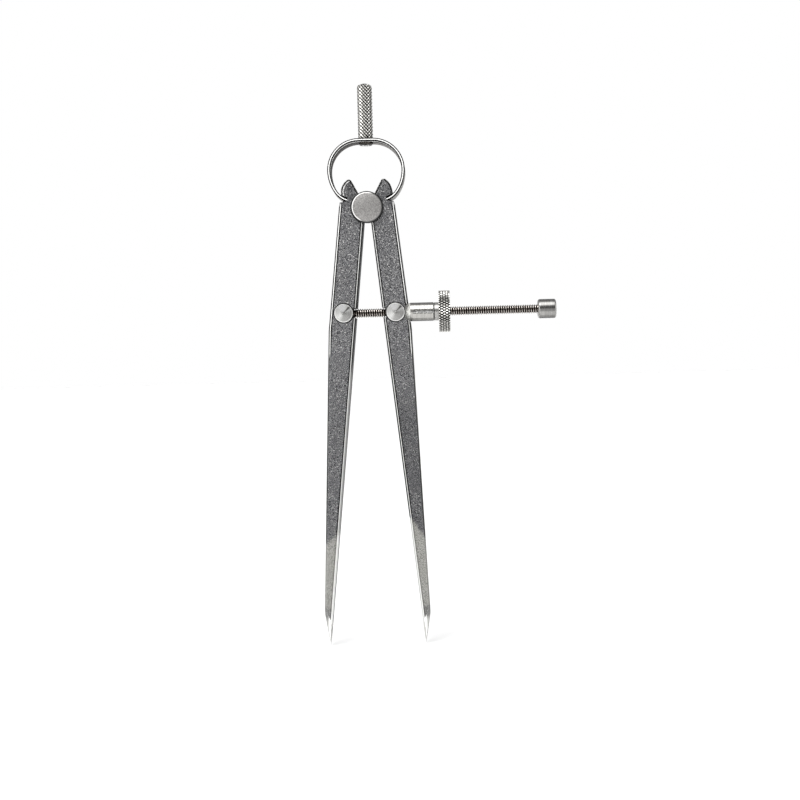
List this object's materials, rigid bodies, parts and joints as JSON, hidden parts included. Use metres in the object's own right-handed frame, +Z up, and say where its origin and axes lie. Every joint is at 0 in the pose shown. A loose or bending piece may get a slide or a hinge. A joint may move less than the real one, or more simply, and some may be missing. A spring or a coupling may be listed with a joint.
{
  "type": "spring divider",
  "caption": "Spring divider: two pointed flat legs on a fulcrum stud, opened by a bow spring and held by a screw and quick-action nut.",
  "frame": {"origin": "seat of the handle on top of the bow spring, on the tool's own line", "axes": "+Z up along the tool's line towards the handle, points down, +X to the right along the adjusting screw towards the nut, front faces -Y"},
  "size_m": [0.0817, 0.0142, 0.192],
  "materials": {
    "leg_steel": "dark grey satin, fine speckle, ground bright towards the points and on the bevels",
    "disc_steel": "warm grey satin with a bright rim",
    "spring_steel": "polished spring strip with bright edges",
    "bright_steel": "turned and polished bright",
    "screw_steel": "dark oiled thread with bright crests",
    "knurled_steel": "plated, diamond knurl with dark grooves"
  },
  "bodies": {
    "frame": {"fulcrum_stud": "disc_steel", "fulcrum_washer": "disc_steel", "bow_spring": "spring_steel", "handle": "knurled_steel", "handle_burr": "screw_steel"},
    "left_leg": {"left_leg": "leg_steel"},
    "right_leg": {"right_leg": "leg_steel"},
    "screw": {"left_post": "bright_steel", "adjusting_screw": "screw_steel", "screw_pin": "bright_steel", "end_knob": "bright_steel"},
    "swivel": {"right_post": "bright_steel", "closing_sleeve": "bright_steel"},
    "nut": {"quick_nut": "knurled_steel"}
  },
  "joints": [
    {"name": "left_leg_hinge", "type": "hinge", "parent": "frame", "child": "left_leg", "pos_m": [0, 0, -0.02372], "axis": [0, 1, 0], "range_deg": [-6.18, 25], "deforming": ["bow_spring"]},
    {"name": "right_leg_hinge", "type": "hinge", "parent": "frame", "child": "right_leg", "pos_m": [0, 0, -0.02372], "axis": [0, -1, 0], "range_deg": [-6.18, 25]},
    {"name": "left_post_hinge", "type": "hinge", "parent": "left_leg", "child": "screw", "pos_m": [-0.00883, 0, -0.05947], "axis": [0, -1, 0], "range_deg": [-6.18, 25]},
    {"name": "right_post_hinge", "type": "hinge", "parent": "right_leg", "child": "swivel", "pos_m": [0.00883, 0, -0.05947], "axis": [0, 1, 0], "range_deg": [-6.18, 25]},
    {"name": "nut_spin", "type": "hinge", "parent": "swivel", "child": "nut", "pos_m": [0.00883, 0, -0.05947], "axis": [1, 0, 0], "continuous": true}
  ],
  "couplings": [
    {"joint": "right_leg_hinge", "follows": "left_leg_hinge", "ratio": 1},
    {"joint": "left_post_hinge", "follows": "left_leg_hinge", "ratio": 1},
    {"joint": "right_post_hinge", "follows": "left_leg_hinge", "ratio": 1}
  ]
}
